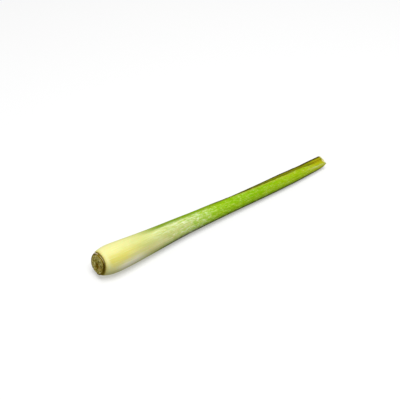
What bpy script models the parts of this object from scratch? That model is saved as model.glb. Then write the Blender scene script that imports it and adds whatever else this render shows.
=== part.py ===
"""Lemongrass stalk, cut off above its roots and trimmed below its leaf blades, lying on its side.

A short solid stem carries five leaves. Each leaf is a sheath rolled round the ones inside it, with
its thick middle rib on the opposite side to the rib of the next. A sheath is modelled as the leaf it
is: a flat grid, rolled up, with a wall that is thick at the rib and thin at the two margins.

Metres, +Z up. The stalk lies along +X with its cut foot at -X, and its underside is at z = 0. Along
the stalk, u is the distance from the middle of the cut foot. Round it, an angle of 0 points to +Y
and 90 degrees points up.
"""

import math

import bmesh
import bpy
import numpy as np
from mathutils import Vector

MM = 0.001

# Outline of the whole stalk
LENGTH = 249.2 * MM
NECK_RADIUS = 6.75 * MM
SWELL = 5.95 * MM  # how much thicker the foot is than the neck
SWELL_REACH = 75 * MM
SWELL_POWER = 1.6
SHOULDER_DROP = 3.1 * MM  # the skin turns in towards the cut by this much
SHOULDER_REACH = 6.6 * MM
SHOULDER_POWER = 1.5
SHOULDER_LIFT = 0.65 * MM  # and more from below than from above
SHOULDER_LIFT_REACH = 5.5 * MM
TIP_TAPER = 1.3 * MM
TIP_TAPER_FROM = 190 * MM

# How it lies: the axis bows sideways a little, and the belly is pressed flat where it rests
FOOT_BOW = 2.4 * MM
FOOT_BOW_BETWEEN = (18 * MM, 88 * MM)
NECK_BOW = 2.3 * MM
NECK_BOW_AT = 180 * MM
NECK_BOW_REACH = 128 * MM
TIP_BOW = 0.8 * MM
TIP_BOW_BETWEEN = (205 * MM, 255 * MM)
SIDEWAYS = 0.7 * MM  # puts the middle of the whole stalk on y = 0
BELLY_PRESS = 0.25 * MM
ARCH = 0.7 * MM  # the middle stands this far clear of the table
ARCH_FROM = 45 * MM
ARCH_TO = 195 * MM

# The knife cut across the foot leans back and turns to the front, so that its face looks upwards
# and towards -Y a little
CUT_LEAN = math.tan(math.radians(12.3))
CUT_TURN = math.tan(math.radians(4.2))
CUT_REACH = 7 * MM  # behind the cut, what follows its slant fades out over this
FOOT_SETBACK = 2 * MM  # the middle of the cut lies this far in from x = -LENGTH / 2
FOOT_X = FOOT_SETBACK - LENGTH / 2

# Stem: its outline as (u, radius), stepped where each sheath grows from it
STEM_OUTLINE = [
    (34.0, 0.0),
    (33.6, 1.2),
    (31.0, 3.1),
    (24.4, 4.4),
    (23.8, 5.3),
    (17.4, 6.0),
    (16.8, 6.9),
    (10.6, 7.5),
    (10.0, 8.8),
    (7.5, 8.8),
    (4.0, 8.1),
    (-4.0, 8.1),
    (-4.0, 0.0),
]
STEM_SIDES = 32
STEM_AIM = 26 * MM  # the stem points at the stalk's axis here

# Sheaths. Insets are how far the outer face lies under the skin of the stalk, and walls are the
# thickness at the rib: each at the foot, at the neck and at the tip.
MARGIN_WALL = 0.42 * MM
INSET_CHANGE = (165 * MM, 235 * MM)  # the neck's insets turn into the tip's between these
TUCK_FROM = math.radians(290)  # a wide sheath's second margin sinks in between these
TUCK_TO = math.radians(355)
ROW_SPACING_POWER = 1.4  # rows crowd towards the foot

GREEN = (0.36, 0.62, 0.06)
OLIVE = (0.50, 0.56, 0.10)
PALE = (0.78, 0.80, 0.38)
CREAM = (0.86, 0.86, 0.58)
GREY_OLIVE = (0.34, 0.32, 0.19)
BROWN = (0.20, 0.11, 0.03)


def smooth_step(start, end, x):
    t = np.clip((x - start) / (end - start), 0, 1)
    return t * t * (3 - 2 * t)


def swelling(u):
    """Share of the foot's swelling left at u: 1 at the foot, 0 along the neck."""
    return np.exp(-((np.maximum(u, 0) / SWELL_REACH) ** SWELL_POWER))


def body_radius(u):
    """Radius of the stalk before the skin turns in at the cut."""
    return NECK_RADIUS + SWELL * swelling(u) - TIP_TAPER * smooth_step(TIP_TAPER_FROM, LENGTH, u)


def skin_radius(u):
    turned_in = np.exp(-((np.maximum(u, 0) / SHOULDER_REACH) ** SHOULDER_POWER))
    return body_radius(u) - SHOULDER_DROP * turned_in


def bow(u):
    """Sideways place of the axis at u."""
    behind_foot = FOOT_BOW * smooth_step(*FOOT_BOW_BETWEEN, u)
    round_neck = NECK_BOW * np.exp(-(((u - NECK_BOW_AT) / NECK_BOW_REACH) ** 2))
    at_tip = TIP_BOW * smooth_step(*TIP_BOW_BETWEEN, u)
    return SIDEWAYS + behind_foot - round_neck + at_tip


def axis_height(u):
    arch = ARCH * np.sin(np.pi * np.clip((u - ARCH_FROM) / (ARCH_TO - ARCH_FROM), 0, 1)) ** 2
    lift = SHOULDER_LIFT * np.exp(-((u / SHOULDER_LIFT_REACH) ** 2))
    return body_radius(u) - BELLY_PRESS + arch + lift


def on_stalk(u, angle, inset):
    """World points at u along the stalk and at an angle round it, this far under its skin.

    The belly is pressed flat: the skin at z = 0, and a deeper layer at its own inset above that.
    """
    radius = skin_radius(u) - inset
    across, up = radius * np.cos(angle), radius * np.sin(angle)
    slant = CUT_LEAN * up - CUT_TURN * across
    x = FOOT_X + u + slant * np.exp(-((u / CUT_REACH) ** 2))
    z = np.maximum(axis_height(u) + up, inset)
    return np.stack([x, bow(u) + across, z], axis=-1)


def painted(name, colour, roughness):
    material = bpy.data.materials.new(name)
    material.use_nodes = True
    shader = material.node_tree.nodes["Principled BSDF"]
    shader.inputs["Base Color"].default_value = (*colour, 1)
    shader.inputs["Roughness"].default_value = roughness
    shader.inputs["Metallic"].default_value = 0
    return material


def add_object(name, mesh, collection, material=None):
    obj = bpy.data.objects.new(name, mesh)
    collection.objects.link(obj)
    if material:
        mesh.materials.append(material)
    return obj


def rolled_leaf(name, collection, material, columns, rows, place, wall, rib_wall):
    """A flat grid of leaf, rolled up and given a wall on its inner side.

    place(across, along) gives the outer face's points and wall(across, along) its thickness, both
    for across from -1 to 1 between the margins and along from 0 at the foot to 1 at the tip.
    """
    flat = bmesh.new()
    bmesh.ops.create_grid(flat, x_segments=columns, y_segments=rows, size=1)
    mesh = bpy.data.meshes.new(name)
    flat.to_mesh(mesh)
    flat.free()
    spots = np.empty(len(mesh.vertices) * 3)
    mesh.vertices.foreach_get("co", spots)
    across, along = spots.reshape(-1, 3)[:, 0], (spots.reshape(-1, 3)[:, 1] + 1) / 2
    mesh.vertices.foreach_set("co", place(across, along).ravel())
    mesh.update()
    mesh.shade_smooth()
    leaf = add_object(name, mesh, collection, material)
    shares = leaf.vertex_groups.new(name="wall")
    for index, share in enumerate(wall(across, along) / rib_wall):
        shares.add([index], float(share), "REPLACE")
    solid = leaf.modifiers.new("wall", "SOLIDIFY")
    solid.thickness = rib_wall
    solid.offset = -1
    solid.vertex_group = shares.name
    return leaf


def add_sheath(
    name, collection, material, columns, rows, start, ends, rib, widths, insets, walls, tuck=0
):
    """A leaf sheath rolled round the stalk.

    It runs from u = start to its trimmed edge, ends(angle). rib is the angle of its middle rib, and
    widths the (u, angle from margin to margin) that it narrows through. tuck is how far the second
    margin sinks to pass under the first.
    """
    foot_inset, neck_inset, tip_inset = insets
    foot_wall, neck_wall, tip_wall = walls

    def spot(across, along):
        guess = start + (LENGTH - start) * along**ROW_SPACING_POWER
        angle = rib + across * half_width(guess)
        reach = ends(np.degrees(angle) % 360) - start
        u = start + reach * along**ROW_SPACING_POWER
        return u, angle

    def half_width(u):
        places, degrees = zip(*widths)
        return np.radians(np.interp(u, [p * MM for p in places], degrees)) / 2

    def place(across, along):
        u, angle = spot(across, along)
        inset = neck_inset + (foot_inset - neck_inset) * swelling(u)
        inset = inset + (tip_inset - neck_inset) * smooth_step(*INSET_CHANGE, u)
        turned = angle - (rib - half_width(u))
        return on_stalk(u, angle, inset + tuck * smooth_step(TUCK_FROM, TUCK_TO, turned))

    def wall(across, along):
        u, _ = spot(across, along)
        at_rib = neck_wall + (foot_wall - neck_wall) * swelling(u)
        at_rib = at_rib + (tip_wall - neck_wall) * smooth_step(*INSET_CHANGE, u)
        return MARGIN_WALL + (at_rib - MARGIN_WALL) * np.cos(across * np.pi / 2) ** 2

    return rolled_leaf(name, collection, material, columns, rows, place, wall, foot_wall)


def outer_trim(degrees):
    """The outer sheath's trimmed edge: a peak on the upper front, cut back along the underside."""
    around = [0, 30, 117, 140, 168, 186, 200, 225, 300, 360]
    reach = [240.2, 241.2, 243.4, 244.8, 247.1, 244.2, 240.7, 237.7, 238.2, 240.2]
    return np.interp(degrees, around, reach) * MM


def straight_trim(reach, skew, low_side):
    """A knife cut across the stalk at u = reach, skewed back by twice skew on its low side."""
    return lambda degrees: reach - skew * (1 + np.cos(np.radians(degrees - low_side)))


def add_sheaths(collection):
    """From the outside in. Ribs lie on opposite sides in turn."""
    front_rib = math.radians(250)
    back_rib = math.radians(70)
    add_sheath(
        "outer_sheath", collection, painted("outer_sheath", GREEN, 0.45), 36, 24,
        start=2 * MM, ends=outer_trim, rib=front_rib,
        widths=[(90, 450), (235, 256), (250, 254)],
        insets=(0, 0, 0), walls=(1.25 * MM, 0.8 * MM, 0.66 * MM), tuck=0.8 * MM,
    )
    add_sheath(
        "second_sheath", collection, painted("second_sheath", OLIVE, 0.5), 24, 18,
        start=11 * MM, ends=straight_trim(245.2 * MM, 1 * MM, 250), rib=back_rib,
        widths=[(0, 342), (150, 342), (248, 300)],
        insets=(2.6 * MM, 1.8 * MM, 1.03 * MM), walls=(1.1 * MM, 0.68 * MM, 0.59 * MM),
    )
    add_sheath(
        "third_sheath", collection, painted("third_sheath", PALE, 0.5), 20, 18,
        start=18 * MM, ends=straight_trim(246.6 * MM, 0.8 * MM, 300), rib=front_rib,
        widths=[(0, 338), (150, 338), (248, 310)],
        insets=(4.1 * MM, 2.83 * MM, 1.96 * MM), walls=(1 * MM, 0.62 * MM, 0.53 * MM),
    )
    add_sheath(
        "inner_sheath", collection, painted("inner_sheath", PALE, 0.5), 16, 18,
        start=25 * MM, ends=straight_trim(246 * MM, 0.6 * MM, 200), rib=back_rib,
        widths=[(0, 332), (150, 332), (248, 316)],
        insets=(5.55 * MM, 3.82 * MM, 2.83 * MM), walls=(0.9 * MM, 0.56 * MM, 0.47 * MM),
    )
    add_sheath(
        "heart_leaf", collection, painted("heart_leaf", CREAM, 0.5), 12, 18,
        start=32 * MM, ends=straight_trim(247 * MM, 0.4 * MM, 120), rib=front_rib,
        widths=[(0, 322), (150, 322), (248, 322)],
        insets=(7 * MM, 4.8 * MM, 3.72 * MM), walls=(0.8 * MM, 0.54 * MM, 0.44 * MM),
    )


def add_old_sheath_scar(collection):
    """Dried rim left round the foot where an older sheath was stripped off. It is open below."""
    front, back = 0.3 * MM, 1.6 * MM
    radius, rim_wall = 9 * MM, 0.6 * MM
    opening_middle, half_turn = math.radians(285), math.radians(158)

    def place(across, along):
        angle = opening_middle + math.pi + across * half_turn
        u = front + (back - front) * along
        return on_stalk(u, angle, skin_radius(u) - radius)

    def wall(across, along):
        return np.full_like(across, rim_wall)

    material = painted("old_sheath_scar", BROWN, 0.7)
    rolled_leaf("old_sheath_scar", collection, material, 26, 2, place, wall, rim_wall)


def add_stem_base(collection, cutters):
    """The solid stem: a turned shape along the foot's axis, cut across by a slanting knife."""
    foot = (FOOT_X, float(bow(0)), float(axis_height(0)))
    shoulder = (FOOT_X + STEM_AIM, float(bow(STEM_AIM)), float(axis_height(STEM_AIM)))
    profile = bmesh.new()
    points = [profile.verts.new((radius * MM, 0, u * MM)) for u, radius in STEM_OUTLINE]
    for start, end in zip(points, points[1:]):
        profile.edges.new((start, end))
    mesh = bpy.data.meshes.new("stem_base")
    profile.to_mesh(mesh)
    profile.free()
    stem = add_object("stem_base", mesh, collection, painted("stem_base", GREY_OLIVE, 0.8))
    stem.location = foot
    stem.rotation_euler = (Vector(shoulder) - Vector(foot)).to_track_quat("Z", "Y").to_euler()
    turn = stem.modifiers.new("turn", "SCREW")
    turn.axis = "Z"
    turn.steps = turn.render_steps = STEM_SIDES
    turn.use_merge_vertices = True
    turn.merge_threshold = 0.00001

    into_stalk = Vector((1, CUT_TURN, -CUT_LEAN)).normalized()
    block = 40 * MM
    bpy.ops.mesh.primitive_cube_add(size=block)
    knife = bpy.context.object
    knife.name = "knife"
    knife.rotation_euler = into_stalk.to_track_quat("X", "Z").to_euler()
    knife.location = Vector(foot) - into_stalk * block / 2
    knife.display_type = "WIRE"
    knife.hide_render = True
    for holder in knife.users_collection:
        holder.objects.unlink(knife)
    cutters.objects.link(knife)
    cut = stem.modifiers.new("knife cut", "BOOLEAN")
    cut.operation = "DIFFERENCE"
    cut.object = knife


def main():
    for obj in list(bpy.data.objects):
        bpy.data.objects.remove(obj)
    stalk = bpy.data.collections.new("lemongrass_stalk")
    cutters = bpy.data.collections.new("cutters")
    bpy.context.scene.collection.children.link(stalk)
    bpy.context.scene.collection.children.link(cutters)
    add_stem_base(stalk, cutters)
    add_old_sheath_scar(stalk)
    add_sheaths(stalk)


main()
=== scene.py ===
"""Trimmed lemongrass stalk lying on a white table in soft light from above.

The stalk lies along X with its cut foot at -X. Along it, u is the distance in metres from the
middle of the cut foot; round it, an angle of 0 points to +Y and a quarter turn points up. Every
piece is a surface worked out on a grid from the same outline, so the layers nest as they grew.
The paint reads u in millimetres and angles in degrees.
"""

import math
from types import SimpleNamespace

import bpy
import numpy as np
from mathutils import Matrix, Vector


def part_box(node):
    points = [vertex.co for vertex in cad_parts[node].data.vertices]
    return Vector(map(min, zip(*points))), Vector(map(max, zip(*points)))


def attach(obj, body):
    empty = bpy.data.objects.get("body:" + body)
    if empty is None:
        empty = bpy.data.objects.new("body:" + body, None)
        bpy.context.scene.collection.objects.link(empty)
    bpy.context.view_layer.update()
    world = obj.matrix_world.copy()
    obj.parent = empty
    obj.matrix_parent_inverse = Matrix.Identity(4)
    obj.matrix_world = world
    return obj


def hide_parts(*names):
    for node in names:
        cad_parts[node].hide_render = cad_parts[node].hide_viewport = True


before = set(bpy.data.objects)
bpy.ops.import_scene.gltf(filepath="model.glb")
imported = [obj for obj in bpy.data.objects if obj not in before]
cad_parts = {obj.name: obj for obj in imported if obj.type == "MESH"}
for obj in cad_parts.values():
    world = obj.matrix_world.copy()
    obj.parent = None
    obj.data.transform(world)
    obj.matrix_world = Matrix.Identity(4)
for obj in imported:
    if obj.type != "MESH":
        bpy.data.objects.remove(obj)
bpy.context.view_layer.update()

MM = 0.001
LENGTH = 249.2 * MM

# The knife cut at the foot: how it leans and turns, how far up the skin follows it, and its
# outline, which is drawn in between four blunt corners, one of them at CUT_CORNER degrees.
CUT_LEAN = math.tan(math.radians(12.3))
CUT_TURN = math.tan(math.radians(4.2))
CUT_REACH = 7 * MM
CUT_CORNER = 53
CUT_DRAWN_IN = 0.022
STEM_RADIUS = 8.05 * MM
FOOT_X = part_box("stem_base")[0][0] + STEM_RADIUS * math.hypot(CUT_LEAN, CUT_TURN)

# The skin's radius, from the swollen foot to the trimmed end.
NECK_RADIUS = 6.75 * MM
SWELL = 5.95 * MM
SWELL_REACH = 75 * MM
SWELL_POWER = 1.6
SHOULDER_DROP = 3.1 * MM
SHOULDER_REACH = 6.6 * MM
SHOULDER_ROUNDNESS = 1.5
TIP_TAPER = 1.3 * MM
TIP_TAPER_FROM = 190 * MM

# The axis: where it bows sideways and how high it runs.
SIDEWAYS = 0.7 * MM
FOOT_BOW = 2.4 * MM
FOOT_BOW_BETWEEN = (18 * MM, 88 * MM)
NECK_BOW = 2.3 * MM
NECK_BOW_AT, NECK_BOW_REACH = 180 * MM, 128 * MM
TIP_BOW = 0.8 * MM
TIP_BOW_BETWEEN = (205 * MM, 255 * MM)
BELLY_PRESS = 0.25 * MM
ARCH = 0.7 * MM
ARCH_FROM, ARCH_TO = 45 * MM, 195 * MM
SHOULDER_LIFT = 0.65 * MM
SHOULDER_LIFT_REACH = 5.5 * MM

# The leaves: their depths and walls are given at the foot, at the neck and at the tip, where they
# are reached along THINS_OUT. Ribs are in degrees, and widths are (u in mm, degrees).
THINS_OUT = (165 * MM, 235 * MM)
FRONT_RIB, BACK_RIB = 250, 70
OUTER_WIDTHS = [
    (90, 450),
    (120, 402),
    (150, 352),
    (186, 322),
    (218, 302),
    (238, 266),
    (250, 254),
]
SECOND_LEAF_DEPTHS = (2.6 * MM, 1.8 * MM, 1.03 * MM)
TUCKED_UNDER = (math.radians(290), math.radians(355))
MARGIN_WANDER = math.radians(2.2)
MARGIN_WALL = 0.2 * MM
TORN_FIBRES, TORN_TEETH = 0.16 * MM, 0.35 * MM
VEIN_HEIGHT = 0.045 * MM
UNEVENNESS = 0.10 * MM
END_ROUNDING, END_ROUNDING_REACH = 0.5 * MM, 0.55 * MM
LOOP_CROWDING = 0.84
SHARP_FROM = math.radians(48)

# Finishes. Colour ramps along the stalk span RAMP_SPAN mm; the dried rim's torn lip is at
# SCAR_LIP degrees.
RAMP_SPAN = 250
BUMP_STRENGTH = 0.9
MOIST = {"Subsurface_Weight": 0.08, "Subsurface_Scale": 0.0010, "Specular_IOR_Level": 0.02}
DRY = {"Specular_IOR_Level": 0.02}
SCAR_LIP = 68


# ---------------------------------------------------------------- the stalk's outline


def smooth_step(start, end, x):
    t = np.clip((x - start) / (end - start), 0, 1)
    return t * t * (3 - 2 * t)


def swelling(u):
    """Share of the foot's swelling left at u: a bell that falls from 1 at the foot to 0."""
    return np.exp(-((np.maximum(u, 0) / SWELL_REACH) ** SWELL_POWER))


def body_radius(u):
    """Neck radius, plus the foot's swelling, less the taper of the trimmed end."""
    return NECK_RADIUS + SWELL * swelling(u) - TIP_TAPER * smooth_step(TIP_TAPER_FROM, LENGTH, u)


def skin_radius(u):
    """The body's radius, turned in towards the cut at the foot."""
    turned_in = np.exp(-((np.maximum(u, 0) / SHOULDER_REACH) ** SHOULDER_ROUNDNESS))
    return body_radius(u) - SHOULDER_DROP * turned_in


def bow(u):
    """Sideways place of the axis: a shift, plus a smooth step behind the foot, less a wide bell
    along the neck, plus a smooth step towards the tip."""
    behind_foot = FOOT_BOW * smooth_step(*FOOT_BOW_BETWEEN, u)
    round_neck = NECK_BOW * np.exp(-(((u - NECK_BOW_AT) / NECK_BOW_REACH) ** 2))
    at_tip = TIP_BOW * smooth_step(*TIP_BOW_BETWEEN, u)
    return SIDEWAYS + behind_foot - round_neck + at_tip


def axis_height(u):
    """The body's radius less the belly's flattening, plus a low arch and a lift at the foot."""
    arch = ARCH * np.sin(np.pi * np.clip((u - ARCH_FROM) / (ARCH_TO - ARCH_FROM), 0, 1)) ** 2
    lift = SHOULDER_LIFT * np.exp(-((u / SHOULDER_LIFT_REACH) ** 2))
    return body_radius(u) - BELLY_PRESS + arch + lift


def at_radius(u, angle, radius, lowest=0.0):
    """Points at this radius from the axis, none of them lower than lowest, where the belly is
    pressed flat. Near the foot they follow the knife cut: its slant, and its outline, which is a
    circle drawn in between four blunt corners."""
    near_cut = np.exp(-((u / CUT_REACH) ** 2))
    corners = np.cos(4 * (angle - math.radians(CUT_CORNER)))
    radius = radius * (1 - CUT_DRAWN_IN * (1 - corners) * near_cut)
    across, up = radius * np.cos(angle), radius * np.sin(angle)
    x = FOOT_X + u + (CUT_LEAN * up - CUT_TURN * across) * near_cut
    z = np.maximum(axis_height(u) + up, lowest)
    return np.stack(np.broadcast_arrays(x, bow(u) + across, z), axis=-1)


def ripple(x, seed, waves, longest, shortest):
    """Smooth irregular wave, mostly between -1 and 1: the weighted mean of sines of seeded
    wavelengths and phases, the short ones weaker, made 1.6 times as high."""
    chance = np.random.default_rng(seed)
    lengths = np.geomspace(longest, shortest, waves) * chance.uniform(0.85, 1.15, waves)
    strengths = np.linspace(1, 0.45, waves)
    phases = chance.uniform(0, 2 * np.pi, waves)
    x = np.asarray(x)[..., None]
    return (strengths * np.sin(2 * np.pi * x / lengths + phases)).sum(-1) / strengths.sum() * 1.6


# ---------------------------------------------------------------- grids made into meshes


def mesh_piece(name, points, faces, marks, material, node):
    """A piece of the stalk from its points, faces and per-point marks, standing for a CAD node."""
    mesh = bpy.data.meshes.new(name)
    mesh.from_pydata(points.reshape(-1, 3).tolist(), [], faces)
    for mark, values in marks.items():
        layer = mesh.attributes.new(mark, "FLOAT_VECTOR", "POINT")
        layer.data.foreach_set("vector", values.astype(np.float32).ravel())
    mesh.shade_smooth()
    mesh.set_sharp_from_angle(angle=SHARP_FROM)
    mesh.materials.append(material)
    piece = bpy.data.objects.new(name, mesh)
    bpy.context.scene.collection.objects.link(piece)
    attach(piece, "root")
    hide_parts(node)


def leaf_grid(across_steps, along_steps, depth_steps):
    """Grid of a leaf's whole skin: across is -1 to 1 between margins, along is 0 to 1, and depth is
    0 on the outer face and 1 on the inner.

    One loop runs over the outer face, round a margin, back over the inner face and round the other
    margin. The loops are joined along the leaf, closer together near its ends, and a grid of wall
    closes each end. Returns the three coordinates of every point, and the faces.
    """
    side = np.linspace(-1, 1, across_steps + 1)
    through = np.linspace(0, 1, depth_steps + 1)
    last_i, last_j = across_steps, depth_steps
    i_loop = np.concatenate([
        np.arange(last_i + 1),
        np.full(last_j - 1, last_i),
        np.arange(last_i, -1, -1),
        np.zeros(last_j - 1, int),
    ])
    j_loop = np.concatenate([
        np.zeros(last_i + 1, int),
        np.arange(1, last_j),
        np.full(last_i + 1, last_j),
        np.arange(last_j - 1, 0, -1),
    ])
    steps = np.linspace(0, 1, along_steps + 1)
    crowded = steps - LOOP_CROWDING * np.sin(2 * np.pi * steps) / (2 * np.pi)
    along = np.repeat(crowded, i_loop.size)
    across = np.tile(side[i_loop], crowded.size)
    depth = np.tile(through[j_loop], crowded.size)

    loops = np.arange(along.size).reshape(crowded.size, i_loop.size)
    ahead = np.roll(loops, -1, axis=1)
    faces = [np.stack([loops[:-1], ahead[:-1], ahead[1:], loops[1:]], -1).reshape(-1, 4)]

    inside_i, inside_j = np.meshgrid(np.arange(1, last_i), np.arange(1, last_j), indexing="ij")
    for end, loop in ((0.0, loops[0]), (1.0, loops[-1])):
        wall = np.empty((last_i + 1, last_j + 1), int)
        wall[i_loop, j_loop] = loop
        wall[inside_i, inside_j] = along.size + np.arange(inside_i.size).reshape(inside_i.shape)
        along = np.append(along, np.full(inside_i.size, end))
        across = np.append(across, side[inside_i.ravel()])
        depth = np.append(depth, through[inside_j.ravel()])
        corners = [wall[:-1, :-1], wall[1:, :-1], wall[1:, 1:], wall[:-1, 1:]]
        if end == 0:
            corners.reverse()
        faces.append(np.stack(corners, -1).reshape(-1, 4))
    return across, along, depth, np.concatenate(faces).tolist()


# ---------------------------------------------------------------- leaves


def from_foot_to_tip(u, at_foot, at_neck, at_tip):
    """The neck's value, drawn towards the foot's by the swelling and stepped up to the tip's."""
    foot_share, tip_share = swelling(u), smooth_step(*THINS_OUT, u)
    return at_neck + (at_foot - at_neck) * foot_share + (at_tip - at_neck) * tip_share


def outer_trim(angle):
    """The outer sheath's trimmed edge: a peak on the upper front, cut back along the underside."""
    around = [0, 30, 117, 140, 168, 186, 200, 225, 300, 360]
    reach = [240.2, 241.2, 243.4, 244.8, 247.1, 244.2, 240.7, 237.7, 238.2, 240.2]
    return np.interp(np.degrees(angle) % 360, around, reach) * MM


def straight_trim(reach, skew, low_side):
    """A knife cut across the stalk at reach, skewed back by twice skew on its low side."""
    return lambda angle: reach - skew * (1 + np.cos(angle - math.radians(low_side)))


def sheath(
    name, node, material, *, grid, start, ends, rib, widths, insets, walls, veins, seed,
    tuck=0.0, shaped=None,
):
    """A leaf sheath rolled round the stalk, with its middle rib at rib degrees.

    It runs from start to ends(angle), and widths are the (u in mm, degrees from margin to margin)
    that it narrows through. insets and walls are its depth under the skin and its thickness at the
    rib: at the foot, neck and tip. tuck is how much deeper its far margin lies, under its near one.
    Radius: the skin, less the inset, plus round-topped veins along the leaf, a slow unevenness, a
    lifted and crinkled edge at each margin, less the share of the wall that depth asks for.
    shaped(u, angle) adds what is particular to one leaf.
    """
    across, along, depth, faces = leaf_grid(*grid)
    margin = np.sign(across)
    edge = np.abs(across) ** 24
    plain_u = start + (LENGTH - start) * along  # before the end is trimmed
    half = np.radians(np.interp(plain_u / MM, *zip(*widths))) / 2
    wander = ripple(plain_u / MM + 90 * margin, seed + 1, 7, 60, 3.5)
    angle = math.radians(rib) + across * half + MARGIN_WANDER * wander * edge * margin

    fibres = ripple(np.degrees(angle), seed + 2, 9, 40, 1.9)
    jag = TORN_FIBRES * fibres + TORN_TEETH * np.clip(fibres - 0.75, 0, 1)
    reach = ends(angle) + jag * (0.5 + 0.5 * edge) - start
    u = start + reach * along

    turned = across * half + half
    inset = from_foot_to_tip(u, *insets) + tuck * smooth_step(*TUCKED_UNDER, turned)
    thicker_at_rib = 0.62 + 0.38 * np.cos(across * np.pi / 2) ** 2
    thickness = from_foot_to_tip(u, *walls) - MARGIN_WALL
    wall = MARGIN_WALL + thickness * (1 - np.abs(across) ** 5) * thicker_at_rib

    vein_share = (1 - 0.75 * swelling(u)) * smooth_step(0, 14 * MM, u - start) * (1 - edge)
    relief = VEIN_HEIGHT * np.cos(2 * np.pi * veins * across) * vein_share
    slow = ripple(across * 3 + 0.004 * u / MM, seed + 3, 5, 1.9, 0.35)
    relief = relief + UNEVENNESS * slow * smooth_step(0, 25 * MM, u - start)
    crinkle = ripple(plain_u / MM + 40 * margin, seed + 4, 8, 45, 2.6)
    curl = (0.10 + 0.16 * crinkle) * MM * np.abs(across) ** 40 * smooth_step(60 * MM, 140 * MM, u)
    rounding = END_ROUNDING * np.exp(-(u - start) / END_ROUNDING_REACH) * (1 - depth)
    radius = skin_radius(u) - inset + relief * (1 - 0.5 * depth) + curl - rounding
    if shaped:
        radius = radius + shaped(u, angle)

    at_margin = (np.abs(across) == 1) * np.sin(np.pi * depth) * margin
    angle = angle + at_margin * 0.5 * wall / np.maximum(radius, MM)
    lowest = inset + depth * wall
    points = at_radius(u, angle, radius - depth * wall, lowest)

    half_arc = half * np.maximum(radius, MM) / MM
    marks = {
        "leaf": np.stack([across * 30, u / MM, (1 - np.abs(across)) * half_arc], -1),
        "lie": np.stack([np.degrees(angle), (start + reach - u) / MM, depth], -1),
    }
    mesh_piece(name, points, faces, marks, material, node)


# ---------------------------------------------------------------- materials


class Value:
    """A number that varies over a surface. A sum on it adds a Math node."""

    def __init__(self, paint, socket):
        self.paint = paint
        self.socket = socket

    def _math(self, operation, *others):
        return self.paint.math(operation, self, *others)

    def __add__(self, other):
        return self._math("ADD", other)

    __radd__ = __add__

    def __sub__(self, other):
        return self._math("SUBTRACT", other)

    def __rsub__(self, other):
        return self.paint.math("SUBTRACT", other, self)

    def __mul__(self, other):
        return self._math("MULTIPLY", other)

    __rmul__ = __mul__

    def __truediv__(self, other):
        return self._math("DIVIDE", other)

    def largest(self, other):
        return self._math("MAXIMUM", other)

    def size(self):
        return self._math("ABSOLUTE")

    def step(self, start, end):
        """0 up to start, 1 from end on, smooth between. start may be the larger, to step down."""
        if start > end:
            return 1 - self.step(end, start)
        ranged = self.paint.node(
            "ShaderNodeMapRange",
            {"interpolation_type": "SMOOTHSTEP"},
            {"Value": self, "From Min": start, "From Max": end},
        )
        return Value(self.paint, ranged.outputs["Result"])

    def bell(self, middle, reach):
        """1 at middle, falling smoothly to 0 at reach to either side."""
        return (self - middle).size().step(reach, 0)


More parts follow.
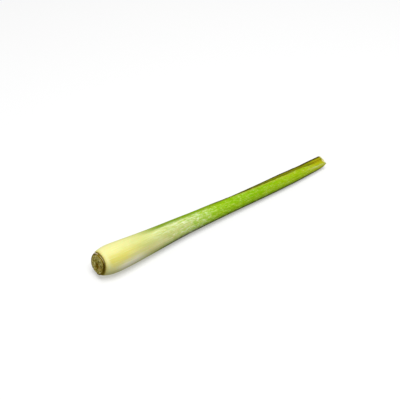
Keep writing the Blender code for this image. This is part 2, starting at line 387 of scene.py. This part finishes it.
class Paint:
    """One material, built up from nodes."""

    def __init__(self, name):
        self.material = bpy.data.materials.new(name)
        self.material.use_nodes = True
        self.nodes = self.material.node_tree.nodes
        self.links = self.material.node_tree.links
        self.shader = self.nodes["Principled BSDF"]

    def feed(self, target, value):
        if isinstance(value, Value):
            value = value.socket
        if isinstance(value, bpy.types.NodeSocket):
            self.links.new(value, target)
        elif isinstance(value, tuple) and len(value) == 3 and target.type == "RGBA":
            target.default_value = (*value, 1)
        else:
            target.default_value = value

    def node(self, kind, settings=None, sockets=None):
        """A node of this kind: its settings are set first, then its sockets' values or links."""
        node = self.nodes.new(kind)
        for setting, value in (settings or {}).items():
            if setting == "stops":
                self._stops(node.color_ramp, value)
            else:
                setattr(node, setting, value)
        for socket, value in (sockets or {}).items():
            self.feed(node.inputs[socket], value)
        return node

    def _stops(self, ramp, stops):
        while len(ramp.elements) < len(stops):
            ramp.elements.new(1)
        for element, (place, colour) in zip(ramp.elements, stops):
            element.position = place
            element.color = (*colour, 1)

    def math(self, operation, *values):
        node = self.node("ShaderNodeMath", {"operation": operation})
        for target, value in zip(node.inputs, values):
            self.feed(target, value)
        return Value(self, node.outputs[0])

    def mark(self, name):
        """The three numbers of one of the piece's own marks.

        On a leaf, "leaf" is the place across it, about in millimetres on the foot, u and the
        distance from the nearest margin. "lie" is the angle, the distance from the trimmed end and
        the depth into the wall, 0 to 1. On the stem, "face" is the shares of fibre ends, heart and
        rim, and "lie" is across, up and u. Lengths are in millimetres and angles in degrees.
        """
        mark = self.node("ShaderNodeAttribute", {"attribute_name": name})
        split = self.node("ShaderNodeSeparateXYZ", None, {0: mark.outputs["Vector"]})
        return [Value(self, split.outputs[axis]) for axis in range(3)]

    def place(self, x, y, z=0.0):
        """A place in a noise. Each z is a slice of its own."""
        return self.node("ShaderNodeCombineXYZ", None, {0: x, 1: y, 2: z}).outputs[0]

    def noise(self, place, detail, roughness, scale=1.0):
        settings = {"noise_dimensions": "3D"}
        sockets = {"Vector": place, "Scale": scale, "Detail": detail, "Roughness": roughness}
        return Value(self, self.node("ShaderNodeTexNoise", settings, sockets).outputs["Fac"])

    def cells(self, place, randomness=1.0):
        """Distance to the nearest of scattered points."""
        sockets = {"Vector": place, "Scale": 1.0, "Randomness": randomness}
        return Value(self, self.node("ShaderNodeTexVoronoi", None, sockets).outputs["Distance"])

    def ramp(self, value, stops):
        return self.node("ShaderNodeValToRGB", {"stops": stops}, {"Fac": value}).outputs["Color"]

    def mix(self, factor, under, over):
        """Colour under, with over laid on it by factor."""
        node = self.node("ShaderNodeMix", {"data_type": "RGBA"})
        targets = (node.inputs[0], node.inputs[6], node.inputs[7])
        for target, value in zip(targets, (factor, under, over)):
            self.feed(target, value)
        return node.outputs[2]

    def layered(self, colour, layers):
        """Lays each (share, colour) of layers over the colour, first to last."""
        for share, over in layers:
            colour = self.mix(share, colour, over)
        return colour

    def finish(self, colour, roughness, height, **constants):
        """Joins up the shader. height is a Value in millimetres; constants are numbers for the
        shader's own sockets, spaces in their names written as underscores."""
        self.feed(self.shader.inputs["Base Color"], colour)
        self.feed(self.shader.inputs["Roughness"], roughness)
        sockets = {"Height": height, "Distance": MM, "Strength": BUMP_STRENGTH}
        bump = self.node("ShaderNodeBump", None, sockets)
        self.feed(self.shader.inputs["Normal"], bump.outputs["Normal"])
        for socket, value in constants.items():
            self.shader.inputs[socket.replace("_", " ")].default_value = value
        return self.material


def cut_end(p, colour, arc, trim, depth, fringe, flesh):
    """A leaf's trimmed end: a pale dry fringe along the edge, and bundles in the cut wall."""
    frayed = p.noise(p.place(arc * 1.6, trim * 0.25, 5.0), 3, 0.7)
    frayed_end = (trim + (frayed - 0.5) * 1.8).step(1.5, 0.3)
    colour = p.mix(frayed_end * 0.8, colour, fringe)
    bundles = p.cells(p.place(arc * 0.8, depth * 1.2), 0.35).step(0.3, 0.12)
    wall = p.mix(bundles * 0.55, flesh, (0.27, 0.33, 0.04))
    inside = depth.step(0.02, 0.08) * depth.step(0.98, 0.92)
    return p.mix(inside * trim.step(0.6, 0.3), colour, wall)


def skin_grain(p, arc, u):
    """The irregular marks of the skin, all of them longer along the leaf than across it."""
    return SimpleNamespace(
        streak=p.noise(p.place(arc * 1.1, u * 0.035), 4, 0.6),
        broad=p.noise(p.place(arc * 0.14, u * 0.05, 4.0), 3, 0.55),
        lines=p.noise(p.place(arc * 4.2, u * 0.05, 9.0), 2, 0.6),
        wisps=p.noise(p.place(arc * 1.3, u * 0.10, 12.0), 3, 0.6),
        clouds=p.noise(p.place(arc * 0.48, u * 0.19, 2.0), 3, 0.62),
        flecks=p.noise(p.place(arc * 1.2 + u * 0.14, u * 0.36 - arc * 0.2, 6.0), 2, 0.6),
    )


def foot_layers(angle, side, u, grain):
    """Yellow, tan and grey bands on the foot, pale and dull greens behind it, painted shade as darker
    green low down and as a dark line under the belly, and deeper green along the far side, partly
    painted shade."""
    golden = side.bell(144, 42) * u.step(3, 9) * u.step(56, 18)
    tan = side.bell(163, 34) * u.step(18, 34) * u.step(84, 54)
    mottled = 0.30 + grain.streak.step(0.40, 0.60) * 0.55
    grey_patch = side.bell(186, 34) * u.step(9, 19) * u.step(48, 26)
    near_pale = side.bell(160, 28) * u.step(95, 150)
    duller = side.bell(136, 26) * u.step(26, 44) * u.step(106, 82)
    upper_dull = side.bell(119, 20) * u.step(50, 64) * u.step(108, 88)
    # Painted shade: darker green on the lower side, behind the foot.
    low_side_shade = side.step(178, 202) * side.step(310, 262) * u.step(40, 62)
    # Painted shade: a dark line along the underside where it meets the table, stronger away from the
    # foot.
    belly = (angle + u.step(50, 88) * 8).step(187, 206) * angle.step(262, 236)
    belly_shade_share = 0.12 + 0.83 * u.step(42, 84)
    # Deeper green along the far upper side: the skin's own green, darkened further as painted shade.
    far_green_and_shade = (angle + (grain.streak - 0.5) * 12).step(100, 82) * u.step(36, 64)
    return [
        (golden * 0.92, (0.64, 0.585, 0.115)),
        (tan * mottled, (0.60, 0.55, 0.27)),
        (grey_patch * 0.9, (0.85, 0.83, 0.62)),
        (near_pale * 0.30, (0.37, 0.53, 0.02)),
        (duller * 0.75, (0.45, 0.48, 0.155)),
        (upper_dull * 0.5, (0.36, 0.43, 0.08)),
        (low_side_shade * 0.8, (0.20, 0.29, 0.0)),
        (belly * belly_shade_share, (0.050, 0.040, 0.0)),
        (far_green_and_shade * (0.92 - 0.5 * u.step(105, 140)), (0.165, 0.270, 0.0)),
    ]


def waxy_bloom(angle, side, u, grain):
    """Share of pale wax: wisps behind the foot, dapples on the green, chalky flecks low down."""
    upper = angle.step(80, 98) * angle.step(142, 116)
    wispy = (grain.wisps * 0.8 + grain.broad * 0.25).step(0.42, 0.70)
    wispy = wispy * u.step(40, 66) * u.step(112, 86) * (0.35 + upper * 0.65)
    dapple = (grain.clouds * 0.62 + grain.flecks * 0.28 + grain.broad * 0.2).step(0.47, 0.76)
    dapple = dapple * u.step(66, 92) * (1 - 0.45 * u.step(128, 165))
    low_chalk = (grain.clouds * 0.6 + grain.flecks * 0.4).step(0.50, 0.62)
    low_chalk = low_chalk * side.bell(164, 28) * u.step(56, 70) * u.step(118, 98)
    return wispy.largest(dapple).largest(low_chalk)


def frost_layers(p, arc, u, grain, green_part, bloom, frosted):
    """The wax itself, deeper green between it, fine frost, and lines along the leaf."""
    to_green = u.step(92, 122)
    chalky = p.mix(to_green, (0.72, 0.80, 0.54), (0.45, 0.65, 0.045))
    frosty = p.mix(to_green, (0.80, 0.84, 0.62), (0.58, 0.70, 0.27))
    patches = grain.clouds * 0.7 + grain.broad * 0.3
    deep = patches.step(0.49, 0.36) * u.step(45, 95)
    frost = grain.flecks.step(0.50, 0.68) * patches.step(0.44, 0.60) * u.step(56, 84) * frosted
    light_lines = grain.lines.step(0.48, 0.70) * green_part
    dark_lines = grain.lines.step(0.44, 0.26) * (0.10 + green_part * 0.9)
    pale_lines = grain.lines.step(0.50, 0.72) * (1 - green_part) * frosted
    specks = p.cells(p.place(arc * 0.40, u * 0.16)).step(0.075, 0.03)
    specks = specks * grain.clouds.step(0.42, 0.55) * u.step(50, 110)
    return [
        (bloom * 0.70, chalky),
        (deep * 0.6, (0.19, 0.40, 0.0)),
        (frost * 0.55, frosty),
        (light_lines * 0.18, (0.45, 0.60, 0.02)),
        (dark_lines * 0.30, (0.12, 0.26, 0.0)),
        (pale_lines * 0.30, (0.90, 0.89, 0.52)),
        (grain.streak.step(0.42, 0.26) * 0.35, (0.48, 0.45, 0.10)),
        (specks * 0.7, (0.10, 0.055, 0.006)),
    ]


def margin_layers(angle, side, u, ragged, dry, grain):
    """Dark brown along the top edge where the two margins meet, partly dry margin and partly painted
    shade; brown at the dry margin; ripening to yellow at the tip.
    """
    # Painted shade mixed with dry brown: a dark line along the top edge, where the margins meet.
    near_half = angle.step(83, 66) * angle.step(28, 42)
    far_half = angle.step(388, 402) * angle.step(438, 422)
    top_edge_dry_and_shade = near_half.largest(far_half) * u.step(112, 130)
    tan_edge = ragged.bell(1.7, 0.9) * u.step(110, 170) * u.step(216, 196)
    golden_edge = ragged.step(2.6, 1.4) * u.step(224, 236)
    pale_crease = ragged.bell(3.7, 1.4) * u.step(218, 236)
    ripe = side.step(104, 150) * u.step(222, 244) * grain.broad.step(0.30, 0.6)
    return [
        (top_edge_dry_and_shade * (0.75 + (grain.streak - 0.5) * 0.8), (0.060, 0.038, 0.0)),
        (dry * 0.95, (0.075, 0.042, 0.004)),
        (tan_edge * 0.5, (0.42, 0.34, 0.05)),
        (golden_edge * 0.8, (0.41, 0.41, 0.004)),
        (pale_crease * 0.65, (0.62, 0.66, 0.26)),
        (ripe * 0.55, (0.44, 0.41, 0.01)),
    ]


def skin_material():
    """The outer sheath's skin: cream-yellow foot, pale bloom, then saturated green."""
    p = Paint("sheath_skin")
    arc, u, edge = p.mark("leaf")
    angle, trim, depth = p.mark("lie")
    grain = skin_grain(p, arc, u)
    shift = (grain.streak - 0.5) * 24 + (grain.broad - 0.5) * 30
    colour = p.ramp((u + shift) / RAMP_SPAN, [
        (0.02, (0.75, 0.73, 0.32)),
        (0.08, (0.71, 0.70, 0.28)),
        (0.12, (0.62, 0.63, 0.235)),
        (0.16, (0.59, 0.61, 0.215)),
        (0.23, (0.55, 0.59, 0.20)),
        (0.32, (0.42, 0.53, 0.10)),
        (0.41, (0.30, 0.47, 0.02)),
        (0.50, (0.20, 0.40, 0.0)),
        (0.64, (0.19, 0.385, 0.0)),
        (0.80, (0.27, 0.42, 0.0)),
        (0.97, (0.38, 0.44, 0.01)),
    ])
    side = angle + (grain.broad - 0.5) * 18 + (grain.streak - 0.5) * 22
    colour = p.layered(colour, foot_layers(angle, side, u, grain))

    green_part = u.step(60, 125)
    frosted = angle.step(72, 96).largest(u.step(118, 140))
    bloom = waxy_bloom(angle, side, u, grain) * frosted
    colour = p.layered(colour, frost_layers(p, arc, u, grain, green_part, bloom, frosted))

    ragged = edge + (grain.streak - 0.5) * 1.6 + (grain.flecks - 0.5) * 1.2
    dry = ragged.step(1.25, 0.35) * u.step(84, 122) * (1 - 0.8 * u.step(196, 216))
    colour = p.layered(colour, margin_layers(angle, side, u, ragged, dry, grain))

    colour = cut_end(p, colour, arc, trim, depth, (0.72, 0.68, 0.42), (0.62, 0.68, 0.28))
    torn_root = (u + (grain.streak - 0.5) * 2).step(4.8, 2.4)
    root_edge = (u + (grain.streak - 0.5)).step(2.7, 1.9)
    colour = p.layered(colour, [
        (torn_root * 0.6, (0.60, 0.51, 0.14)),
        (root_edge * 0.85, (0.22, 0.17, 0.008)),
    ])
    roughness = 0.44 + bloom * 0.14 + (grain.flecks - 0.5) * 0.22 + dry * 0.25
    height = grain.lines * 0.05 * (0.3 + green_part) + grain.flecks * 0.03
    height = height + (grain.clouds + grain.streak) * 0.05
    return p.finish(colour, roughness, height, **MOIST)


def leaf_paint(p, stops, browned):
    """What every inner leaf's colour shares: its colour along the stalk, dark and light lines, and
    brown streaks dried in by the share browned. Returns the colour, the roughness and the relief."""
    arc, u, edge = p.mark("leaf")
    streak = p.noise(p.place(arc * 1.3, u * 0.04, 3.0), 4, 0.6)
    lines = p.noise(p.place(arc * 4.5, u * 0.06, 7.0), 2, 0.6)
    blotch = p.noise(p.place(arc * 0.5, u * 0.14, 1.0), 3, 0.6)
    brown = (streak * 0.55 + blotch * 0.55).step(0.50, 0.68) * browned
    dry = (edge + (streak - 0.5) * 1.5).step(1.3, 0.3)
    colour = p.layered(p.ramp((u + (streak - 0.5) * 20) / RAMP_SPAN, stops), [
        (lines.step(0.47, 0.28) * 0.45, (0.09, 0.14, 0.0)),
        (lines.step(0.52, 0.72) * 0.25, (0.50, 0.50, 0.03)),
        (brown, (0.12, 0.065, 0.010)),
        (dry * 0.85, (0.13, 0.075, 0.012)),
    ])
    roughness = 0.5 + (streak - 0.5) * 0.2 + brown * 0.15
    return colour, roughness, lines * 0.08 + streak * 0.06 + blotch * 0.04


def inner_leaf_material(name, stops, browned):
    """A leaf inside the outer ones, seen only at the cut end."""
    p = Paint(name)
    colour, roughness, height = leaf_paint(p, stops, browned)
    arc = p.mark("leaf")[0]
    trim, depth = p.mark("lie")[1:]
    colour = cut_end(p, colour, arc, trim, depth, (0.70, 0.67, 0.36), (0.68, 0.70, 0.32))
    return p.finish(colour, roughness, height, **MOIST)


def second_leaf_material():
    """The second leaf, which shows along the opening: olive, with a dark brown fold along the top of
    its far side, partly dry and partly painted shade, painted shade in its crease, and a yellow band
    next to the outer leaf's margin."""
    p = Paint("second_leaf")
    colour, roughness, height = leaf_paint(p, [
        (0.00, (0.70, 0.70, 0.30)),
        (0.45, (0.32, 0.45, 0.05)),
        (0.72, (0.17, 0.21, 0.0)),
        (0.86, (0.17, 0.20, 0.0)),
        (0.91, (0.20, 0.24, 0.0)),
        (0.95, (0.28, 0.29, 0.002)),
        (1.00, (0.29, 0.28, 0.003)),
    ], 0.8)
    arc, u = p.mark("leaf")[:2]
    angle, trim, depth = p.mark("lie")
    wander = p.noise(p.place(arc * 0.2, u * 0.09, 8.0), 3, 0.6)
    side = angle + (wander - 0.5) * 10
    dim = side.step(90, 64) * side.step(10, 38) * u.step(176, 200) * u.step(234, 224)
    yellow = side.step(74, 84) * u.step(226, 238)
    # Dark brown along the top of the far side: dry brown, deepened as painted shade.
    fold = (side - 22 * u.step(196, 224)).step(58, 44) * side.step(22, 38) * u.step(105, 130)
    # Painted shade: a dark line in the crease near the tip.
    crease = side.bell(101, 6) * u.step(222, 234)
    brown_nick = side.bell(98, 8) * trim.step(3.4, 1.6)
    colour = p.layered(colour, [
        (dim * 0.6, (0.09, 0.075, 0.0)),
        (yellow * 0.7, (0.36, 0.34, 0.003)),
        (fold * 0.9, (0.045, 0.025, 0.0)),
        (crease * 0.7, (0.09, 0.07, 0.0)),
        (brown_nick * 0.8, (0.06, 0.04, 0.006)),
    ])
    colour = cut_end(p, colour, arc, trim, depth, (0.66, 0.62, 0.34), (0.64, 0.64, 0.30))
    return p.finish(colour, roughness, height, **MOIST)


def from_spot(across, up, spot):
    """Square of the distance from a spot on the cut face."""
    to_side, to_top = across - spot[0], up - spot[1]
    return to_side * to_side + to_top * to_top


def cut_foot_material():
    """The stem's cut face: olive-brown flesh, dark fibre ends, a brown heart; cream behind it."""
    p = Paint("cut_foot")
    fibre, heart, rim = p.mark("face")
    across, up, u = p.mark("lie")
    face = p.place(across, up)
    cloud = p.noise(face, 3, 0.6, scale=0.42)
    mottle = p.noise(face, 2, 0.5, scale=0.55)
    grain = p.noise(face, 4, 0.7, scale=1.7)
    colour = p.ramp(cloud * 0.30 + mottle * 0.50 + grain * 0.20, [
        (0.39, (0.14, 0.100, 0.004)),
        (0.46, (0.26, 0.205, 0.022)),
        (0.53, (0.46, 0.39, 0.100)),
        (0.60, (0.78, 0.70, 0.29)),
    ])
    paler_top = up.step(2.0, 5.5)
    olive = from_spot(across, up, (0.9, 2.6)).step(6.0, 1.0)
    brown_middle = up.bell(-0.3, 3.2) * across.step(3.2, -0.5)
    russet = from_spot(across, up, (-4.1, -1.7)).step(2.6, 0.4)
    # A ragged band round the rim of the cut face: darker brown, and pale tan on its low far side.
    rim_band = (rim + (grain - 0.5) * 0.8).step(0.45, 1.0)
    low_far_side = (across * 0.6 - up * 0.8).step(3.5, 6.5)
    behind_face = u.step(0.6, 1.6)
    colour = p.layered(colour, [
        (paler_top * 0.40, (0.52, 0.47, 0.15)),
        (olive * 0.5, (0.20, 0.17, 0.012)),
        (brown_middle * 0.6, (0.25, 0.17, 0.012)),
        (russet * 0.6, (0.60, 0.34, 0.13)),
        (heart * 0.92, (0.17, 0.095, 0.0)),
        (fibre * 0.9, (0.045, 0.045, 0.005)),
        (rim_band * 0.5, (0.22, 0.16, 0.02)),
        (rim_band * low_far_side * 0.8, (0.58, 0.47, 0.26)),
        (behind_face, (0.62, 0.51, 0.27)),
    ])
    return p.finish(colour, 0.8 - fibre * 0.15, grain * 0.25 + cloud * 0.15, **DRY)


def dried_scar_material():
    """Dried sheath rim: dark brown low on the near side, golden brown above, with a pinkish lip."""
    p = Paint("dried_scar")
    u = p.mark("leaf")[1]
    angle = p.mark("lie")[0]
    fray = p.noise(p.place(angle * 0.35, u * 0.5), 4, 0.7)
    colour = p.ramp(fray, [
        (0.30, (0.015, 0.006, 0.0)),
        (0.50, (0.060, 0.030, 0.0)),
        (0.68, (0.14, 0.085, 0.001)),
        (0.82, (0.26, 0.18, 0.012)),
    ])
    colour = p.layered(colour, [
        ((1 - angle.bell(162, 62)) * 0.8, (0.25, 0.175, 0.003)),
        (angle.bell(SCAR_LIP, 17) * 0.9, (0.60, 0.47, 0.30)),
    ])
    return p.finish(colour, 0.75, fray * 0.3, **DRY)


# ---------------------------------------------------------------- the pieces


def risen_in_the_opening(u, angle):
    """Lifts the second leaf almost to the skin between the outer leaf's two margins, and part of
    the way under its near margin. It also flares at the end, with a crease and a fold."""
    turn = np.degrees(angle)
    half = np.interp(u / MM, *zip(*OUTER_WIDTHS)) / 2
    near_margin, far_margin = FRONT_RIB - half, FRONT_RIB + half - 360
    past_far = smooth_step(far_margin + 1, far_margin + 9, turn)
    open_here = past_far * smooth_step(near_margin + 5, near_margin - 2, turn)
    beside = past_far * smooth_step(near_margin + 38, near_margin + 10, turn)
    at_neck, at_tip = SECOND_LEAF_DEPTHS[1:]
    depth = at_neck + (at_tip - at_neck) * smooth_step(*THINS_OUT, u)
    lift = np.maximum(open_here * (depth - 0.34 * MM), beside * (depth - 0.84 * MM))
    near_end = smooth_step(150 * MM, 225 * MM, u)
    flare = 0.95 * np.exp(-(((turn - 46) / 30) ** 2)) * smooth_step(205 * MM, 234 * MM, u)
    crease = -0.30 * np.exp(-(((turn - 101) / 3.5) ** 2)) * near_end
    fold = 0.16 * np.exp(-(((turn - 78) / 6) ** 2)) * near_end
    return lift + (flare + crease + fold) * MM


def sheaths():
    """The five leaves from the outside in, their ribs on opposite sides in turn."""
    sheath(
        "outer_leaf_sheath", "outer_sheath", skin_material(),
        grid=(220, 196, 4), start=1.8 * MM, ends=outer_trim, rib=FRONT_RIB, widths=OUTER_WIDTHS,
        insets=(0, 0, 0), walls=(1.25 * MM, 0.8 * MM, 0.66 * MM),
        veins=22, seed=11, tuck=0.8 * MM,
    )
    sheath(
        "second_leaf_sheath", "second_sheath", second_leaf_material(),
        grid=(150, 150, 4), start=11 * MM, ends=straight_trim(245.2 * MM, 1 * MM, 250),
        rib=BACK_RIB, widths=[(0, 342), (150, 342), (248, 300)],
        insets=SECOND_LEAF_DEPTHS, walls=(1.1 * MM, 0.68 * MM, 0.59 * MM),
        veins=18, seed=23, shaped=risen_in_the_opening,
    )
    pale_green = [
        (0.0, (0.72, 0.70, 0.34)),
        (0.5, (0.55, 0.65, 0.20)),
        (0.9, (0.47, 0.55, 0.07)),
        (1.0, (0.52, 0.55, 0.07)),
    ]
    sheath(
        "third_leaf_sheath", "third_sheath", inner_leaf_material("third_leaf", pale_green, 0.4),
        grid=(110, 110, 4), start=18 * MM, ends=straight_trim(246.6 * MM, 0.8 * MM, 300),
        rib=FRONT_RIB, widths=[(0, 338), (150, 338), (248, 310)],
        insets=(4.1 * MM, 2.83 * MM, 1.96 * MM), walls=(1 * MM, 0.62 * MM, 0.53 * MM),
        veins=14, seed=37,
    )
    sheath(
        "inner_leaf_sheath", "inner_sheath", inner_leaf_material("fourth_leaf", pale_green, 0.2),
        grid=(90, 90, 4), start=25 * MM, ends=straight_trim(246 * MM, 0.6 * MM, 200),
        rib=BACK_RIB, widths=[(0, 332), (150, 332), (248, 316)],
        insets=(5.55 * MM, 3.82 * MM, 2.83 * MM), walls=(0.9 * MM, 0.56 * MM, 0.47 * MM),
        veins=11, seed=41,
    )
    cream = [(0.0, (0.75, 0.73, 0.40)), (1.0, (0.66, 0.69, 0.26))]
    sheath(
        "rolled_heart_leaf", "heart_leaf", inner_leaf_material("heart_of_stalk", cream, 0.0),
        grid=(70, 80, 4), start=32 * MM, ends=straight_trim(247 * MM, 0.4 * MM, 120),
        rib=FRONT_RIB, widths=[(0, 322), (248, 322)],
        insets=(7 * MM, 4.8 * MM, 3.72 * MM), walls=(0.8 * MM, 0.54 * MM, 0.44 * MM),
        veins=8, seed=53,
    )


def old_sheath_scar():
    """A dried rim round the foot, open below: a ring whose front edge is ragged and whose face
    waves in and out, with one lip torn up and forward."""
    opening, half_turn = 285, 158
    across, along, depth, faces = leaf_grid(200, 14, 4)
    angle = math.radians(opening) + math.pi + across * math.radians(half_turn)
    turn = np.degrees(angle) % 360
    rag = ripple(turn, 61, 10, 90, 3)
    crimp = ripple(turn, 62, 9, 50, 4)
    lip = np.exp(-(((turn - SCAR_LIP) / 9) ** 2))
    narrow = np.exp(-(((turn - 108) / 28) ** 2))
    front = (0.42 + 0.16 * rag - 0.5 * lip) * MM
    back = (1.55 - 0.60 * narrow) * MM
    u = front + (back - front) * along
    radius = (8.95 + 0.14 * crimp + (0.20 * rag + 0.9 * lip) * (1 - along) ** 2) * MM
    wall = (0.78 - 0.12 * (1 - along)) * MM
    points = at_radius(u, angle, radius - depth * wall)
    marks = {
        "leaf": np.stack([across * 25, u / MM, 25 * (1 - np.abs(across))], -1),
        "lie": np.stack([turn, (back - u) / MM, depth], -1),
    }
    mesh_piece("dried_sheath_rim", points, faces, marks, dried_scar_material(), "old_sheath_scar")


def scattered(count, reach, seed):
    """Points spread over a disc by the golden angle, each shifted a little at random."""
    chance = np.random.default_rng(seed)
    order = np.arange(count) + 0.5
    radius = reach * np.sqrt(order / count)
    turn = order * math.pi * (3 - math.sqrt(5))
    spots = np.stack([radius * np.cos(turn), radius * np.sin(turn)], -1)
    return spots + chance.normal(0, 0.3, spots.shape), chance.uniform(0.5, 1.0, count)


def bumps(across, up, spots, strengths, width):
    """Sum of round bells of this width, one at each spot."""
    gap = (across[:, None] - spots[:, 0]) ** 2 + (up[:, None] - spots[:, 1]) ** 2
    return (strengths * np.exp(-gap / width**2)).sum(-1)


def cut_face(across, up, radius, angle):
    """Relief of the cut face in millimetres, and the shares of fibre ends and heart in it, at the
    places that are across and up from its middle.

    Relief: fibre ends stand proud, six root traces and the heart are sunk, and a slow wave with
    straight knife marks runs over all of it.
    """
    fibre_spots, strengths = scattered(120, 7.3, 5)
    fibres = bumps(across, up, fibre_spots, strengths, 0.19)
    trace_spots = [(-5.6, 1.1), (4.4, -5.6), (-1.9, 3.9), (-1.0, -5.2), (-4.6, 4.2), (5.2, 0.8)]
    trace_depths = [1.9, 1.5, 1.5, 1.1, 0.8, 0.7]
    traces = bumps(across, up, np.array(trace_spots), np.array(trace_depths), 0.68)
    wavy = 0.12 * ripple(np.degrees(angle), 73, 6, 150, 20)
    from_heart = np.hypot((across + 0.2) / 2.2, (up + 1.2) / 3.1) + wavy
    heart = 1 - smooth_step(0.65, 1.15, from_heart)
    knife_marks = 0.05 * np.sin(1.9 * across + 2.6 * up)
    wave = 0.16 * ripple(across * 0.8 + up * 1.3, 74, 6, 9, 1.2)
    relief = 0.10 * fibres - 0.30 * traces - 0.35 * heart + knife_marks + wave
    fade = 1 - np.minimum(radius * MM / STEM_RADIUS, 1) ** 12
    return relief * fade, np.clip(fibres * 0.75 + traces, 0, 1), heart


def stem_base():
    """The solid stem: a disc of rings for the cut face, a rounded rim, then the stepped side that
    the sheaths grow from. A point closes each end. Lengths here are in millimetres."""
    around = 320
    rim_radius, rounding = STEM_RADIUS / MM, 0.25
    steps = [
        (0.9, rim_radius), (2.0, rim_radius), (4.0, 8.1), (5.5, 8.4), (7.5, 8.7), (10.0, 8.7),
        (10.6, 7.5), (13.5, 7.2), (16.8, 6.9), (17.4, 6.0), (20, 5.7), (23.8, 5.3),
        (24.4, 4.4), (28, 3.8), (31, 3.1), (33.6, 1.2),
    ]
    tail_end = 34.0
    side_u, side_r = zip(*steps)
    face = np.linspace(0.12, rim_radius - rounding, 84)
    bend = np.linspace(0, np.pi / 2, 6)[1:]
    rim_r = rim_radius - rounding + rounding * np.sin(bend)
    rim_u = rounding - rounding * np.cos(bend)
    ring_r = np.concatenate([face, rim_r, side_r])
    ring_u = np.concatenate([np.zeros(face.size), rim_u, side_u])
    rings = ring_r.size

    turn = np.arange(around) * 2 * np.pi / around
    radius, angle = np.meshgrid(ring_r, turn, indexing="ij")
    out_of_round = 0.012 * ripple(np.degrees(angle), 71, 6, 180, 18)
    radius = radius * (1 + out_of_round * (radius / rim_radius) ** 3)
    radius = np.append(radius.ravel(), (0, 0))
    angle = np.append(angle.ravel(), (0, 0))
    u = np.append(np.repeat(ring_u, around), (0, tail_end))
    across, up = radius * np.cos(angle), radius * np.sin(angle)

    on_face = u < 0.02
    relief, fibres, heart = cut_face(across, up, radius, angle)
    points = at_radius(u * MM, angle, radius * MM)
    points[:, 0] -= relief * on_face * MM
    rim = smooth_step(6.6, 8.0, radius) * (u < 1.2)
    marks = {
        "face": np.stack([fibres * on_face, heart * on_face, rim], -1),
        "lie": np.stack([across, up, u], -1),
    }

    grid = np.arange(rings * around).reshape(rings, around)
    ahead = np.roll(grid, -1, axis=1)
    sides = np.stack([grid[:-1], ahead[:-1], ahead[1:], grid[1:]], -1).reshape(-1, 4)
    first, last = grid.size, grid.size + 1
    nose = np.stack([np.full(around, first), ahead[0], grid[0]], -1)
    tail = np.stack([np.full(around, last), grid[-1], ahead[-1]], -1)
    faces = sides.tolist() + nose.tolist() + tail.tolist()
    mesh_piece("cut_stem_foot", points, faces, marks, cut_foot_material(), "stem_base")


# ---------------------------------------------------------------- table, light and camera


def table():
    """A white table top with a faint glow of its own, which keeps the stalk's shadow pale. It
    throws no light back on the stalk."""
    mesh = bpy.data.meshes.new("table_top")
    half = 3.0
    mesh.from_pydata(
        [(-half, -half, 0), (half, -half, 0), (half, half, 0), (-half, half, 0)], [], [(0, 1, 2, 3)]
    )
    paint = Paint("white_table")
    paint.feed(paint.shader.inputs["Base Color"], (0.50, 0.50, 0.50))
    paint.feed(paint.shader.inputs["Emission Color"], (1.0, 1.0, 1.0))
    paint.feed(paint.shader.inputs["Emission Strength"], 0.38)
    paint.feed(paint.shader.inputs["Roughness"], 0.9)
    paint.feed(paint.shader.inputs["Specular IOR Level"], 0.1)
    mesh.materials.append(paint.material)
    top = bpy.data.objects.new("table_top", mesh)
    top.visible_diffuse = top.visible_glossy = False
    bpy.context.scene.collection.objects.link(top)


def soft_light(name, place, aim, width, watts):
    """A square white light at place that faces the point aim."""
    data = bpy.data.lights.new(name, "AREA")
    data.size = width
    data.energy = watts
    light = bpy.data.objects.new(name, data)
    light.location = place
    light.rotation_euler = (Vector(aim) - Vector(place)).to_track_quat("-Z", "Y").to_euler()
    bpy.context.scene.collection.objects.link(light)


def surround(strength):
    """A weak white light from all round."""
    world = bpy.data.worlds.new("white_surround")
    world.use_nodes = True
    background = world.node_tree.nodes["Background"]
    background.inputs["Color"].default_value = (1, 1, 1, 1)
    background.inputs["Strength"].default_value = strength
    bpy.context.scene.world = world


def camera(azimuth, elevation, distance, aim, lens):
    """Camera at this distance from the point aim, azimuth 0 looking along +Y."""
    turn, rise = math.radians(azimuth), math.radians(elevation)
    back = Vector((math.sin(turn) * math.cos(rise), -math.cos(turn) * math.cos(rise), math.sin(rise)))
    data = bpy.data.cameras.new("studio_camera")
    data.lens = lens
    data.sensor_width = 36
    data.clip_start = 0.01
    view = bpy.data.objects.new("studio_camera", data)
    view.location = Vector(aim) + back * distance
    view.rotation_euler = back.to_track_quat("Z", "Y").to_euler()
    bpy.context.scene.collection.objects.link(view)
    bpy.context.scene.camera = view


stem_base()
old_sheath_scar()
sheaths()
table()
surround(0.40)
soft_light("overhead", place=(-0.05, -0.36, 1.7), aim=(0, 0, 0), width=1.2, watts=33)
camera(azimuth=-36.0, elevation=40.1, distance=0.7034, aim=(0.0004, 0.0293, 0), lens=70)
bpy.context.scene.view_settings.view_transform = "Standard"
